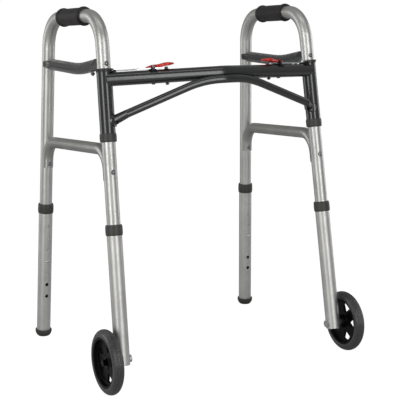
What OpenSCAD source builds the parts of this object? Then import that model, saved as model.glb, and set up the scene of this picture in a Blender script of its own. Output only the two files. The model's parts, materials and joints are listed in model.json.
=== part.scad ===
// Folding aluminium walking frame with two fixed front wheels.
// Millimetres, +Z up. The origin is on the floor, under the middle of the outline.
// The front faces -Y. Left is -X and right is +X, as seen from the front.

/* [Stance] */
// Half the distance between the front leg axes at floor level
front_foot_x = 236.5; // [232:0.5:242]
// Distance between the front and rear leg axes at floor level
leg_spread = 391; // [386:1:396]
// Backward rake of the front legs, in degrees
front_rake = 9.74; // [9.5:0.02:10]
// Forward rake of the rear legs, in degrees
rear_rake = 2.66; // [2.5:0.02:2.8]
// Inward lean of each side frame, in degrees
side_lean = 1.69; // [1.5:0.01:1.9]
// Outward splay of each side frame towards the rear, in degrees
side_toe = 2.05; // [1.9:0.05:2.2]

/* [Handle] */
// Height of the handle tube's axis at its middle, along the side frame
handle_h = 678.5; // [674:0.5:684]
// Slope of the handle tube down towards the rear, in degrees
handle_slope = 3.44; // [3:0.02:4]
// Bend radius of the handle tube's two corners
handle_bend_r = 62.5; // [60:0.5:65]
// Length of the hand grip
grip_len = 100; // [95:1:104]
// Diameter of the hand grip between its flanges
grip_d = 33.2; // [32:0.2:35]

/* [Tubes] */
// Outer diameter of the upper frame tubes and the crossbar
tube_d = 25.4; // [25.2:0.1:25.6]
// Outer diameter of the leg extensions and the pivot sleeves
outer_tube_d = 28.6; // [28.4:0.1:28.8]
// Outer diameter of the side braces
brace_d = 22.2; // [21.8:0.1:22.6]
// Outer diameter of the arched front brace
arch_d = 15; // [14:0.5:15.5]
// Wall thickness of every tube
wall = 1.25; // [1.2:0.05:1.4]

/* [Front cross frame] */
// Height of the crossbar's axis, along the front legs
bar_h = 577.4; // [575:0.2:579]
// How far the crossbar's middle stands forward of the leg axes
bow = 52; // [48:1:56]
// Top of the pivot sleeve, along the front legs
sleeve_top = 591.5; // [590:0.5:592]
// Bottom of the pivot sleeve, along the front legs
sleeve_bottom = 470; // [466:1:474]

/* [Legs and wheels] */
// Distance between neighbouring height holes
hole_pitch = 25.4; // [25:0.1:25.8]
// Holes above and below the one in use
holes_each_way = 3; // [2:1:3]
// Outer diameter of the tyres
wheel_d = 122; // [121:0.5:124]
// Width of the tyres
tyre_w = 21; // [20:0.5:23]
// Distance from the leg's axis to the middle of the wheel
wheel_offset = 29.5; // [29:0.1:31]

/* [Hidden] */
$fn = 48;
hull_fn = 32;
// Running clearance of a tube that turns or slides in another
run_gap = 0.06;
// Clearance of pieces that are fixed against each other
touch = 0.02;
// Bends stand this much proud of the straight tubes that run into them
bend_swell = 0.05;
// How far a straight tube runs into a bend
bend_lap = 1;

tube_r = tube_d / 2;
outer_r = outer_tube_d / 2;
brace_r = brace_d / 2;
arch_r = arch_d / 2;
wheel_r = wheel_d / 2;
sleeve_bore_r = tube_r + run_gap;

// Inner tubes end here, measured along each leg from the floor
front_tube_end = 152;
rear_tube_end = 135;
// Extensions, measured along each leg from the floor
front_ext_bottom = 52;
front_ext_top = 306;
rear_ext_bottom = 12;
rear_ext_top = 284;
collar_h = 20;
collar_r = 16.2;
// Each leg collar laps this far down over its extension
collar_lap = 14;
// Collar under each pivot sleeve
sleeve_collar_h = 16;
sleeve_collar_drop = 6.5;
sleeve_collar_wall = 1.5;
// Ring between each pivot sleeve and the lock ring above it
top_ring_h = 2.5;
top_ring_lip = 0.9;
// Snap buttons, measured along each leg from the floor
front_button_h = 192;
rear_button_h = 167.2;
button_r = 3.4;
hole_r = 3.6;

// Rear tip
tip_r = 17.4;
tip_centre_h = 12.5;
tip_h = 14;

// Rivets and screws
rivet_r = 2.38;
rivet_hole_r = 2.4;
rivet_head_r = 4.6;
rivet_head_h = 2;

// Side frame heights, in the side frame's own plane
upper_brace_front = 599.6;
upper_brace_rear = 580.5;
upper_brace_knee = 208;
flat_h = 11;
flat_w = 25;
front_flat_len = 30;
front_drop = 5.3;
rear_flat_len = 26;
screw_h = 606.5;
lower_brace_front = 386.5;
lower_brace_rear = 368;
lower_brace_run_front = 442.4;
lower_brace_run_rear = 421.2;
lower_brace_bend_r = 42;
saddle_offset = 6.4;
// How far the upper brace's front tongue stands above the middle of its tube
front_flat_lift = 1.5;
upper_brace_bend_r = 350;
// The braces' bores stop this far inside their flattened ends
bore_stop = 4;
front_rivet_h = 408;
rear_rivet_h = 377.5;
brace_screw_h = upper_brace_rear + 0.5;
stop_bolt_back = 149;
stop_bolt_h = 572.5;
stop_nut_lift = 2.2;

// Where the two leg axes meet the handle tube's axis
front_slope = tan(front_rake);
rear_slope = -tan(rear_rake);
handle_fall = -tan(handle_slope);
handle_mid = 240;
function handle_corner(base, slope) =
    let (z = (handle_h + handle_fall * (base - handle_mid)) / (1 - handle_fall * slope))
    [base + slope * z, z];
front_corner = handle_corner(0, front_slope);
rear_corner = handle_corner(leg_spread, rear_slope);
function front_point(h) = h * [sin(front_rake), cos(front_rake)];
function rear_point(h) = [leg_spread - h * sin(rear_rake), h * cos(rear_rake)];

// Centre of the hand grip, which starts where the front bend ends
handle_dir = (rear_corner - front_corner) / norm(rear_corner - front_corner);
front_cut = handle_bend_r * tan((90 + front_rake - handle_slope) / 2);
grip_centre = front_corner + handle_dir * (front_cut + grip_len / 2);

// A point of the right side frame, measured from its front foot
function side_offset(p) =
    let (x = p[0] * cos(side_lean) - p[2] * sin(side_lean),
         z = p[0] * sin(side_lean) + p[2] * cos(side_lean))
    [x * cos(side_toe) + p[1] * sin(side_toe), p[1] * cos(side_toe) - x * sin(side_toe), z];
leg_dir = side_offset([0, sin(front_rake), cos(front_rake)]);
plane_rake = atan2(leg_dir[1], leg_dir[2]);
leg_drift = leg_dir[0] / norm([leg_dir[1], leg_dir[2]]);
axle_offset = leg_dir * wheel_r / leg_dir[2];
tip_centre = rear_point(tip_centre_h);
tip_offset = side_offset([0, tip_centre[0], tip_centre[1]]);
// The tyres' front and the rear tips' back are equally far from the origin
foot_y = (wheel_r - tip_r - axle_offset[1] - tip_offset[1]) / 2;
axle_point = [front_foot_x, foot_y, 0] + axle_offset;

// Crossbar, in the plane of the two front legs
bar_lead = 4;
bar_end_x = front_foot_x + bar_h * leg_drift;
bow_angle = atan((bow - bar_lead) / bar_end_x);
bar_bend_r = 60;
// Distance of the pivot axis from the crossbar's middle, along the bar
reach = bar_end_x * cos(bow_angle) + bow * sin(bow_angle);

// Arched brace, beside the crossbar
arch_h = 564;
arch_lead = 15.3;
arch_knee = 47.3;
arch_slope = 19.1;
arch_bend_r = 200;
arch_end = 197;
pad_h = 502;
pad_angle = 45;
pad_r = 11;
pad_thick = 2.8;
// Height of the pad's rivet above the middle of the pad
pad_rivet_y = -4;
// Disc that the arch's end flares out to, set towards the walker's middle and into the pad
flare_r = 8.5;
flare_h = 6.5;
flare_shift = 4;
flare_sink = 4.5;
flare_lift = 1;
// Spot face in the flare, round the rivet's head
spot_face_r = 5;

// Release levers, in the bar's own line
pivot_x = 139;
pivot_h = 595.2;
pivot_r = 1.5;
boss_r = 2.8;
lever_w = 12;
lever_bottom = 591.6;
lever_t = 1.8;
lever_start = 120;
lever_taper_x = 170;
// Clearance between the lever and the slot in the cheeks
slot_gap = 0.4;
// Raised tongue at the lever's outer end
tip_gap = 17;
tongue_len = 5;
tongue_w = 6;
tongue_rise = 3;
tongue_start = reach - tip_gap - tongue_len;
ear_y = 7.2;
ear_t = 1.8;
ear_w = 6.5;
// Metal of the ears above the middle of the lever's pin
ear_rise = 2.4;
saddle_w = 14;
saddle_t = 1;
// Cheeks beside each sleeve, along and across the crossbar
cheek_len = 6;
cheek_w = 20;
// Clearance between the lock ring and the fixed cheeks under it
lock_gap = 0.9;
// Return spring under the paddle, round its bolt and on its washer
spring_x = 112.5;
spring_r = 3.4;
spring_bore_r = 2.2;
spring_h = 4.4;
washer_t = 0.6;
lock_ring_bottom = 594.4;
lock_ring_h = 3;
lock_ring_r = 16.4;

// Wheel
seat_r = 47.5;
axle_r = 4;
bushing_r = 6;
boss_inner = 12.2;
boss_outer = 3;
web_inner = -2.5;
web_t = 4;
window_count = 5;
// Outline of the window that points straight down, from its tip nearest the boss
window_outline = [[19, 0], [34, -11], [38, -5.5], [39, 0], [38, 5.5], [34, 11]];
groove_r = 0.9;
groove_z = 4.5;
side_gap = 0.3;

LEFT = -1;
RIGHT = 1;

silver = "silver";
charcoal = "#3d3e40";
dark_grey = "#3a3a39";
steel = "#b8babd";
red = "#c81e14";

// ---- placing ----

// Mirrors its children for the left-hand side
module handed(s) {
    mirror([s == LEFT ? 1 : 0, 0, 0]) children();
}

// Side frame's own axes: x to the right, y to the rear, z up, origin at the front foot
module in_side(s) {
    translate([s * front_foot_x, foot_y, 0])
        rotate([0, -s * side_lean, -s * side_toe])
            children();
}

// +z runs up the front leg's axis and +y to its rear
module on_front_leg(s) {
    in_side(s) rotate([-front_rake, 0, 0]) children();
}

// +z runs up the rear leg's axis and +y to its rear
module on_rear_leg(s) {
    in_side(s) translate([0, leg_spread, 0]) rotate([rear_rake, 0, 0]) children();
}

// Plane of the two front legs: x to the right, y to the rear, z up the legs
module in_front_plane() {
    translate([0, foot_y, 0]) rotate([-plane_rake, 0, 0]) children();
}

// Line of one half of the crossbar: x outwards from the middle, z up
module along_bar(s) {
    in_front_plane()
        handed(s)
            translate([0, -bow, 0])
                rotate([0, 0, bow_angle])
                    children();
}

// +z points outwards along the wheel's axle, origin on the leg's axis
module on_axle(s) {
    handed(s) translate(axle_point) rotate([0, 90, 0]) children();
}

// ---- bent tubes ----

function unit(v) = v / norm(v);
function heading(a, b) = atan2(b[1] - a[1], b[0] - a[0]);
function turn(a, b, c) =
    let (t = heading(b, c) - heading(a, b))
    t > 180 ? t - 360 : (t < -180 ? t + 360 : t);
function cut_back(a, b, c, r) = r * tan(abs(turn(a, b, c)) / 2);

// Round bar of diameter d through the points of a flat path, bent to the radii at its corners
module bent_bar(path, radii, d) {
    last = len(path) - 1;
    for (i = [0:last - 1]) {
        run = unit(path[i + 1] - path[i]);
        before = i == 0 ? 0 : cut_back(path[i - 1], path[i], path[i + 1], radii[i - 1]);
        after = i == last - 1 ? 0 : cut_back(path[i], path[i + 1], path[i + 2], radii[i]);
        lap_before = i == 0 ? 0 : bend_lap;
        lap_after = i == last - 1 ? 0 : bend_lap;
        start = path[i] + run * (before - lap_before);
        straight = norm(path[i + 1] - path[i]) - before - after;
        translate([start[0], start[1], 0])
            rotate([0, 90, heading(path[i], path[i + 1])])
                cylinder(h = straight + lap_before + lap_after, d = d);
    }
    for (i = [1:last - 1]) bar_bend(path[i - 1], path[i], path[i + 1], radii[i - 1], d);
}

// The bend of a round bar at corner b of the path a, b, c
module bar_bend(a, b, c, r, d) {
    sweep = turn(a, b, c);
    way = heading(a, b);
    hand = sweep > 0 ? 1 : -1;
    start = b - unit(b - a) * cut_back(a, b, c, r);
    centre = start + r * hand * [-sin(way), cos(way)];
    translate([centre[0], centre[1], 0])
        rotate([0, 0, way - hand * 90 + (sweep < 0 ? sweep : 0)])
            rotate_extrude(angle = abs(sweep))
                translate([r, 0])
                    circle(r = d / 2 + bend_swell);
}

// Stands a flat path up in the side frame's plane
module stand_up() {
    rotate([90, 0, 90]) children();
}

module ring(inner, outer, h) {
    difference() {
        cylinder(h = h, r = outer);
        translate([0, 0, -1]) cylinder(h = h + 2, r = inner);
    }
}

// ---- front cross frame ----

bar_path = [[-bar_end_x, -bar_lead], [0, -bow], [bar_end_x, -bar_lead]];

module crossbar() {
    color(charcoal)
    difference() {
        in_front_plane() translate([0, 0, bar_h]) bent_bar(bar_path, [bar_bend_r], tube_d);
        in_front_plane() translate([0, 0, bar_h])
            bent_bar([[-bar_end_x, -bar_lead] * 1.02, [0, -bow], [bar_end_x, -bar_lead] * 1.02],
                [bar_bend_r], tube_d - 2 * wall);
        for (s = [LEFT, RIGHT]) {
            on_front_leg(s) translate([0, 0, bar_h - 40]) cylinder(h = 80, r = outer_r + touch);
            for (x = [spring_x, pivot_x])
                along_bar(s) translate([x, 0, bar_h - 20]) cylinder(h = 40, r = rivet_hole_r);
        }
    }
}

arch_tangent = bar_bend_r * tan(bow_angle);
arch_path = [[arch_tangent - bend_lap, arch_h], [arch_knee, arch_h],
    [arch_end, arch_h - (arch_end - arch_knee) * tan(arch_slope)]];
// The tube is pressed flat from here on
arch_bore_end = arch_end - 4;
arch_bore_path = [arch_path[0], arch_path[1],
    [arch_bore_end, arch_h - (arch_bore_end - arch_knee) * tan(arch_slope)]];

module arch_half(s) {
    along_bar(s) translate([0, -arch_lead, 0]) rotate([90, 0, 0])
        bent_bar(arch_path, [arch_bend_r], arch_d);
    difference() {
        union() {
            intersection() {
                on_front_leg(s) translate([0, 0, pad_h - 20]) cylinder(h = 40, r = outer_r + pad_thick);
                on_arch_pad(s) cylinder(h = 30, r = pad_r);
            }
            hull() {
                along_bar(s)
                    translate([arch_end, -arch_lead, arch_path[2][1]])
                        rotate([0, 90 + arch_slope, 0])
                            translate([0, 0, -1])
                                cylinder(h = 1.6, r = arch_r + 0.2, $fn = hull_fn);
                on_arch_pad(s)
                    translate([-s * flare_shift, flare_lift, outer_r - flare_sink])
                        cylinder(h = flare_h, r = flare_r, $fn = hull_fn);
            }
        }
        on_front_leg(s) translate([0, 0, pad_h - 40]) cylinder(h = 80, r = outer_r + touch);
    }
}

// Radial axis of the arch's riveted pad: z points away from the sleeve's axis, y up the leg
module on_arch_pad(s) {
    on_front_leg(s)
        translate([0, 0, pad_h])
            rotate([0, 0, -s * pad_angle])
                rotate([90, 0, 0])
                    children();
}

module arch_brace() {
    color(charcoal)
    difference() {
        union() {
            for (s = [LEFT, RIGHT]) arch_half(s);
            in_front_plane() translate([0, -arch_lead / cos(bow_angle), arch_h])
                bar_bend([-bar_end_x, -bar_lead], [0, -bow], [bar_end_x, -bar_lead],
                    bar_bend_r + arch_lead, arch_d);
        }
        for (s = [LEFT, RIGHT]) {
            on_arch_pad(s) translate([0, pad_rivet_y, 10]) cylinder(h = 20, r = rivet_hole_r);
            on_arch_pad(s) translate([0, pad_rivet_y, outer_r + pad_thick])
                cylinder(h = 20, r = spot_face_r);
            along_bar(s) translate([0, -arch_lead, 0]) rotate([90, 0, 0])
                bent_bar(arch_bore_path, [arch_bend_r], arch_d - 2 * wall);
        }
        in_front_plane() translate([0, -arch_lead / cos(bow_angle), arch_h])
            bar_bend([-bar_end_x, -bar_lead], [0, -bow], [bar_end_x, -bar_lead],
                bar_bend_r + arch_lead, arch_d - 2 * wall);
    }
}

module arch_rivets() {
    color(steel)
    for (s = [LEFT, RIGHT]) on_arch_pad(s) translate([0, pad_rivet_y, 0]) {
        translate([0, 0, sleeve_bore_r + 0.3])
            cylinder(h = outer_r + pad_thick - sleeve_bore_r - 0.3, r = rivet_r);
        translate([0, 0, outer_r + pad_thick + touch]) rivet_head();
    }
}

// Domed head, standing on its seat
module rivet_head() {
    rotate_extrude()
        intersection() {
            translate([0, rivet_head_h - 6.3]) circle(r = 6.3);
            square([rivet_head_r, rivet_head_h]);
        }
}

module pivot_sleeve(s) {
    color(charcoal)
    difference() {
        on_front_leg(s) translate([0, 0, sleeve_bottom])
            ring(sleeve_bore_r, outer_r, sleeve_top - sleeve_bottom);
        on_arch_pad(s) translate([0, pad_rivet_y, 10]) cylinder(h = 20, r = rivet_hole_r);
    }
}

module sleeve_top_ring(s) {
    color("#1d1d1e")
    on_front_leg(s) translate([0, 0, sleeve_top + touch])
        ring(sleeve_bore_r, outer_r + top_ring_lip, top_ring_h);
}

module sleeve_bottom_collar(s) {
    color(dark_grey)
    on_front_leg(s) difference() {
        translate([0, 0, sleeve_bottom - sleeve_collar_drop])
            ring(sleeve_bore_r, outer_r + sleeve_collar_wall, sleeve_collar_h);
        translate([0, 0, sleeve_bottom - touch]) cylinder(h = 20, r = outer_r + touch);
    }
}

// ---- release latches ----

module latch_bracket(s) {
    ear_bottom = bar_h + 11;
    cheek_bottom = bar_h + 6;
    color(dark_grey)
    difference() {
        along_bar(s) {
            // Saddle with two ears that hold the lever's pin
            difference() {
                union() {
                    intersection() {
                        translate([pivot_x - saddle_w / 2, 0, bar_h]) rotate([0, 90, 0])
                            ring(tube_r + touch, tube_r + saddle_t, saddle_w);
                        translate([pivot_x - saddle_w / 2, -11, cheek_bottom])
                            cube([saddle_w, 22, 20]);
                    }
                    for (side = [-1, 1])
                        translate([pivot_x, side * (ear_y + ear_t / 2), 0])
                            translate([-ear_w / 2, -ear_t / 2, ear_bottom])
                                cube([ear_w, ear_t, pivot_h + ear_rise - ear_bottom]);
                }
                translate([pivot_x, 20, pivot_h]) rotate([90, 0, 0])
                    cylinder(h = 40, r = pivot_r);
                translate([pivot_x, 0, bar_h]) cylinder(h = 30, r = rivet_hole_r);
                translate([pivot_x - 20, 0, bar_h]) rotate([0, 90, 0])
                    cylinder(h = 40, r = tube_r + touch);
            }
            // Two cheeks beside the sleeve, under the lever's tongue
            difference() {
                translate([reach - outer_r - cheek_len, -cheek_w / 2, cheek_bottom])
                    cube([cheek_len, cheek_w, lock_ring_bottom - lock_gap - cheek_bottom]);
                translate([reach - outer_r - 10, -lever_w / 2 - 0.5, lever_bottom - slot_gap])
                    cube([20, lever_w + 1, 20]);
                translate([0, 0, bar_h]) rotate([0, 90, 0])
                    cylinder(h = reach, r = tube_r + touch);
            }
        }
        on_front_leg(s) translate([0, 0, bar_h - 20]) cylinder(h = 80, r = outer_r + 1.4);
    }
}

// Lever pins across the ears, and the rivets that hold the brackets down
module latch_pins() {
    ear_face = ear_y + ear_t;
    pin_head_t = 1;
    pin_head_r = 2.4;
    rivet_drop = 1.6;
    color(steel)
    for (s = [LEFT, RIGHT]) along_bar(s) {
        translate([pivot_x, ear_face + pin_head_t, pivot_h]) rotate([90, 0, 0])
            cylinder(h = 2 * (ear_face + pin_head_t), r = pivot_r - touch / 2);
        for (turn_over = [0, 180])
            translate([pivot_x, 0, pivot_h]) rotate([90, 0, turn_over])
                translate([0, 0, ear_face + touch]) cylinder(h = pin_head_t, r = pin_head_r);
        translate([pivot_x, 0, bar_h - tube_r - rivet_drop]) {
            cylinder(h = 2 * tube_r + saddle_t + rivet_drop, r = rivet_r);
            cylinder(h = rivet_drop - 0.05, r = 3.4);
        }
    }
}

// Bolt that guides each return spring, with its nut under the crossbar
module spring_bolts() {
    bolt_r = 1.9;
    washer_r = 4.6;
    color(steel)
    for (s = [LEFT, RIGHT]) along_bar(s) translate([spring_x, 0, 0]) {
        translate([0, 0, bar_h - tube_r - 4]) cylinder(h = 2 * tube_r + 7.5, r = bolt_r);
        translate([0, 0, bar_h - tube_r - 3]) cylinder(h = 2.6, r = 3.6, $fn = 6);
        translate([0, 0, bar_h + tube_r + touch]) ring(bolt_r, washer_r, washer_t);
    }
}

module release_spring(s) {
    color(steel)
    along_bar(s) translate([spring_x, 0, bar_h + tube_r + washer_t + 0.1])
        ring(spring_bore_r, spring_r, spring_h);
}

module release_lever(s) {
    color(steel)
    along_bar(s) difference() {
        union() {
            // Flat strip along the top of the crossbar, narrower towards the tongue
            translate([0, 0, lever_bottom]) linear_extrude(lever_t)
                polygon([[lever_start, -lever_w / 2], [lever_taper_x, -lever_w / 2],
                    [tongue_start + 1, -tongue_w / 2], [tongue_start + 1, tongue_w / 2],
                    [lever_taper_x, lever_w / 2], [lever_start, lever_w / 2]]);
            // Raised tongue at the lock ring
            translate([tongue_start, -tongue_w / 2, lever_bottom])
                cube([2, tongue_w, tongue_rise + lever_t]);
            translate([tongue_start, -tongue_w / 2, lever_bottom + tongue_rise])
                cube([tongue_len, tongue_w, lever_t]);
            // Pressed stiffening bump
            translate([166, 0, lever_bottom + lever_t - 4.6])
                intersection() {
                    sphere(r = 6);
                    translate([-6, -6, 4.4]) cube([12, 12, 2]);
                }
            translate([pivot_x, lever_w / 2 + 0.8, pivot_h]) rotate([90, 0, 0])
                cylinder(h = lever_w + 1.6, r = boss_r);
        }
        translate([pivot_x, 20, pivot_h]) rotate([90, 0, 0])
            cylinder(h = 40, r = pivot_r + run_gap);
    }
}

// Side outline of the paddle, from its thin outer tail to its raised inner tip
paddle_seat = lever_bottom + lever_t + touch;
paddle_outline = [[153, paddle_seat], [152, 595.2], [145, 598.2], [139, 599.4], [130, 599.8],
    [122, 601.4], [112, 603.2], [101, 603.2], [97, 601.6], [99.5, 598.2], [108, 596.6],
    [116, 595.6], [121, paddle_seat]];

module release_paddle(s) {
    color(red)
    along_bar(s) difference() {
        intersection() {
            rotate([90, 0, 0]) translate([0, 0, -13]) linear_extrude(26) polygon(paddle_outline);
            union() {
                translate([113, 0, 560]) leaf_plan();
                translate([118, -5.5, 580]) cube([36, 11, 40]);
            }
        }
        translate([pivot_x, 20, pivot_h]) rotate([90, 0, 0]) cylinder(h = 40, r = boss_r + 0.1);
    }
}

// Leaf-shaped plan of the paddle: two arcs that meet in points
module leaf_plan() {
    leaf_r = 24;
    leaf_half_w = 12;
    intersection() {
        translate([0, leaf_r - leaf_half_w, 0]) cylinder(h = 60, r = leaf_r);
        translate([0, leaf_half_w - leaf_r, 0]) cylinder(h = 60, r = leaf_r);
    }
}

// ---- side frames ----

side_path = [front_point(front_tube_end), front_corner, rear_corner, rear_point(rear_tube_end)];
side_bore_path = [front_point(front_tube_end - 5), front_corner, rear_corner,
    rear_point(rear_tube_end - 5)];

module side_tube(s) {
    color(silver)
    difference() {
        in_side(s) stand_up() bent_bar(side_path, [handle_bend_r, handle_bend_r], tube_d);
        in_side(s) stand_up()
            bent_bar(side_bore_path, [handle_bend_r, handle_bend_r], tube_d - 2 * wall);
        on_front_leg(s) {
            translate([0, 0, front_button_h]) rotate([-90, 0, 0]) cylinder(h = 20, r = hole_r);
            for (h = [front_rivet_h, screw_h])
                translate([0, 20, h]) rotate([90, 0, 0]) cylinder(h = 40, r = rivet_hole_r);
        }
        on_rear_leg(s) {
            translate([0, 0, rear_button_h]) rotate([90, 0, 0]) cylinder(h = 20, r = hole_r);
            for (h = [rear_rivet_h, brace_screw_h])
                translate([0, 20, h]) rotate([90, 0, 0]) cylinder(h = 40, r = rivet_hole_r);
        }
    }
}

module hand_grip(s) {
    flange_w = 6;
    color("#2e2829")
    in_side(s) translate([0, grip_centre[0], grip_centre[1]]) rotate([90 - handle_slope, 0, 0])
        translate([0, 0, -grip_len / 2])
            difference() {
                union() {
                    cylinder(h = grip_len, d = grip_d);
                    for (z = [0, grip_len - flange_w])
                        translate([0, 0, z]) cylinder(h = flange_w, d = grip_d + 3.4);
                }
                translate([0, 0, -1]) cylinder(h = grip_len + 2, r = tube_r + touch);
            }
}

// Upper brace: a bent tube, flattened where it meets each leg
module upper_brace(s) {
    front_end = [upper_brace_front * front_slope + front_flat_len, upper_brace_front - front_drop];
    rear_end = [leg_spread + upper_brace_rear * rear_slope - rear_flat_len, upper_brace_rear];
    knee = [upper_brace_knee, upper_brace_rear];
    front_way = heading(front_end, knee);
    color(charcoal)
    difference() {
        in_side(s) {
            stand_up() bent_bar([front_end, knee, rear_end], [upper_brace_bend_r], brace_d);
            hull() {
                translate([0, front_end[0], front_end[1]]) rotate([front_way, 0, 0])
                    rotate([-90, 0, 0]) cylinder(h = 1.5, d = brace_d + 0.4, $fn = hull_fn);
                translate([-flat_w / 2, upper_brace_front * front_slope + 2,
                    upper_brace_front - flat_h / 2 + front_flat_lift])
                    cube([flat_w, 10, flat_h]);
            }
            hull() {
                translate([0, rear_end[0], rear_end[1]]) rotate([90, 0, 0])
                    cylinder(h = 1.5, d = brace_d + 0.4, $fn = hull_fn);
                translate([-flat_w / 2, rear_end[0] + rear_flat_len - 12, rear_end[1] - flat_h / 2])
                    cube([flat_w, 10, flat_h]);
            }
        }
        in_side(s) stand_up()
            bent_bar([front_end + unit(knee - front_end) * bore_stop, knee, rear_end - [bore_stop, 0]],
                [upper_brace_bend_r], brace_d - 2 * wall);
        on_front_leg(s) {
            translate([0, 0, 500]) cylinder(h = 200, r = tube_r + touch);
            translate([0, 20, screw_h]) rotate([90, 0, 0]) cylinder(h = 20, r = rivet_hole_r);
        }
        on_rear_leg(s) {
            translate([0, 0, 500]) cylinder(h = 200, r = tube_r + touch);
            translate([0, 0, brace_screw_h]) rotate([90, 0, 0])
                cylinder(h = 20, r = rivet_hole_r);
        }
        in_side(s) translate([0, stop_bolt_back, stop_bolt_h - 12]) cylinder(h = 30, r = rivet_hole_r);
    }
}

// Lower brace: an arched tube whose ends hug the legs
module lower_brace(s) {
    front_shift = saddle_offset / cos(front_rake);
    rear_shift = saddle_offset / cos(rear_rake);
    path = [
        [lower_brace_front * front_slope + front_shift, lower_brace_front],
        [lower_brace_run_front * front_slope + front_shift, lower_brace_run_front],
        [leg_spread + lower_brace_run_rear * rear_slope - rear_shift, lower_brace_run_rear],
        [leg_spread + lower_brace_rear * rear_slope - rear_shift, lower_brace_rear]];
    bore_path = [path[0] + (path[0] - path[1]) * 0.2, path[1], path[2],
        path[3] + (path[3] - path[2]) * 0.2];
    radii = [lower_brace_bend_r, lower_brace_bend_r];
    color("#b4b4b0")
    difference() {
        in_side(s) stand_up() bent_bar(path, radii, brace_d);
        in_side(s) stand_up() bent_bar(bore_path, radii, brace_d - 2 * wall);
        on_front_leg(s) {
            translate([0, 0, 340]) cylinder(h = 150, r = tube_r + touch);
            translate([0, 0, front_rivet_h]) rotate([-90, 0, 0]) cylinder(h = 30, r = rivet_hole_r);
        }
        on_rear_leg(s) {
            translate([0, 0, 340]) cylinder(h = 150, r = tube_r + touch);
            translate([0, 0, rear_rivet_h]) rotate([90, 0, 0]) cylinder(h = 30, r = rivet_hole_r);
        }
    }
}

// A rivet through a leg, from its head at -y to its tail at +y
module cross_rivet(head_at, tail_at) {
    translate([0, tail_at, 0]) rotate([90, 0, 0]) cylinder(h = tail_at - head_at, r = rivet_r);
    translate([0, head_at - touch, 0]) rotate([90, 0, 0]) rivet_head();
}

module side_fasteners(s) {
    saddle_r = saddle_offset + brace_r;
    color(steel) {
        on_front_leg(s) {
            translate([0, 0, screw_h]) cross_rivet(-tube_r - 0.1, tube_r + 6);
            translate([0, 0, front_rivet_h]) {
                cross_rivet(-tube_r - 0.1, saddle_r + 0.2);
                translate([0, saddle_r + 0.2 + touch, 0]) rotate([-90, 0, 0]) rivet_head();
            }
        }
        on_rear_leg(s) {
            translate([0, 0, rear_rivet_h]) {
                cross_rivet(-saddle_r - 0.2, tube_r + 0.1);
                translate([0, tube_r + 0.1 + touch, 0]) rotate([-90, 0, 0]) rivet_head();
            }
            translate([0, 0, brace_screw_h]) {
                translate([0, tube_r + 0.1, 0]) rotate([90, 0, 0])
                    cylinder(h = 2 * tube_r + 5, r = rivet_r);
                translate([0, tube_r + 0.1 + touch, 0]) rotate([-90, 0, 0]) rivet_head();
            }
        }
    }
    // Stop bolt under the upper brace
    color("#2a2a2b")
    in_side(s) translate([0, stop_bolt_back, stop_bolt_h]) {
        cylinder(h = 14, r = rivet_r - 0.2);
        translate([0, 0, stop_nut_lift]) cylinder(h = 4, r = 4.4, $fn = 6);
    }
}

module lock_ring(s) {
    color("#1d1d1e")
    on_front_leg(s) translate([0, 0, lock_ring_bottom]) difference() {
        ring(tube_r + touch, lock_ring_r, lock_ring_h);
        // Notch for the lever's tongue, facing along the crossbar
        rotate([0, 0, s == RIGHT ? 180 + bow_angle + side_toe : -bow_angle - side_toe])
            translate([13.6, -5.2, -1]) cube([10, 10.4, lock_ring_h + 2]);
    }
}

// Bent leaf springs inside the legs, behind the snap buttons
module snap_spring() {
    arm = 8.4;
    leaf = 0.8;
    for (side = [-1, 1])
        translate([-3, side * (arm - leaf / 2) - leaf / 2, -8]) cube([6, leaf, 34]);
    translate([-3, 0, 26]) rotate([90, 0, 90])
        half_ring(arm, leaf, 6);
}

module half_ring(r, leaf, w) {
    difference() {
        ring(r - leaf, r, w);
        translate([-2 * r, -2 * r, -1]) cube([4 * r, 2 * r, w + 2]);
    }
}

module snap_springs(s) {
    color(steel) {
        on_front_leg(s) translate([0, 0, front_button_h]) snap_spring();
        on_rear_leg(s) translate([0, 0, rear_button_h]) snap_spring();
    }
}

// ---- leg extensions ----

// Height holes through one wall, along -y, centred on the one in use
module height_holes(first_h) {
    for (i = [-holes_each_way:holes_each_way])
        translate([0, 0, first_h + i * hole_pitch]) rotate([90, 0, 0])
            cylinder(h = 20, r = hole_r);
}

module front_extension(s) {
    color(silver)
    difference() {
        on_front_leg(s) translate([0, 0, front_ext_bottom])
            ring(tube_r + run_gap, outer_r, front_ext_top - front_ext_bottom);
        on_front_leg(s) rotate([0, 0, 180]) height_holes(front_button_h);
        on_axle(s) translate([0, 0, -20]) cylinder(h = 40, r = axle_r);
    }
}

module rear_extension(s) {
    color(silver)
    on_rear_leg(s) difference() {
        translate([0, 0, rear_ext_bottom])
            ring(tube_r + run_gap, outer_r, rear_ext_top - rear_ext_bottom);
        height_holes(rear_button_h);
    }
}

// Collar over the top end of an extension, in the leg's own axes
module collar(top) {
    color(dark_grey)
    difference() {
        translate([0, 0, top - collar_lap]) ring(tube_r + run_gap, collar_r, collar_h);
        translate([0, 0, top - 20]) cylinder(h = 20 + touch, r = outer_r + touch);
    }
}

// Domed tip under a rear leg, cut flat at the floor, with a plug inside the tube
module rear_tip(s) {
    color(dark_grey)
    difference() {
        on_rear_leg(s) {
            difference() {
                rotate_extrude() intersection() {
                    translate([0, tip_centre_h]) circle(r = tip_r);
                    translate([0, -2]) square([tip_r + 1, tip_h + 2]);
                }
                translate([0, 0, rear_ext_bottom - touch]) cylinder(h = 20, r = outer_r + touch);
            }
            translate([0, 0, rear_ext_bottom - 1]) cylinder(h = 24, r = tube_r - 0.1);
        }
        translate([-500, -500, -100]) cube([1000, 1000, 100]);
    }
}

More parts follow.
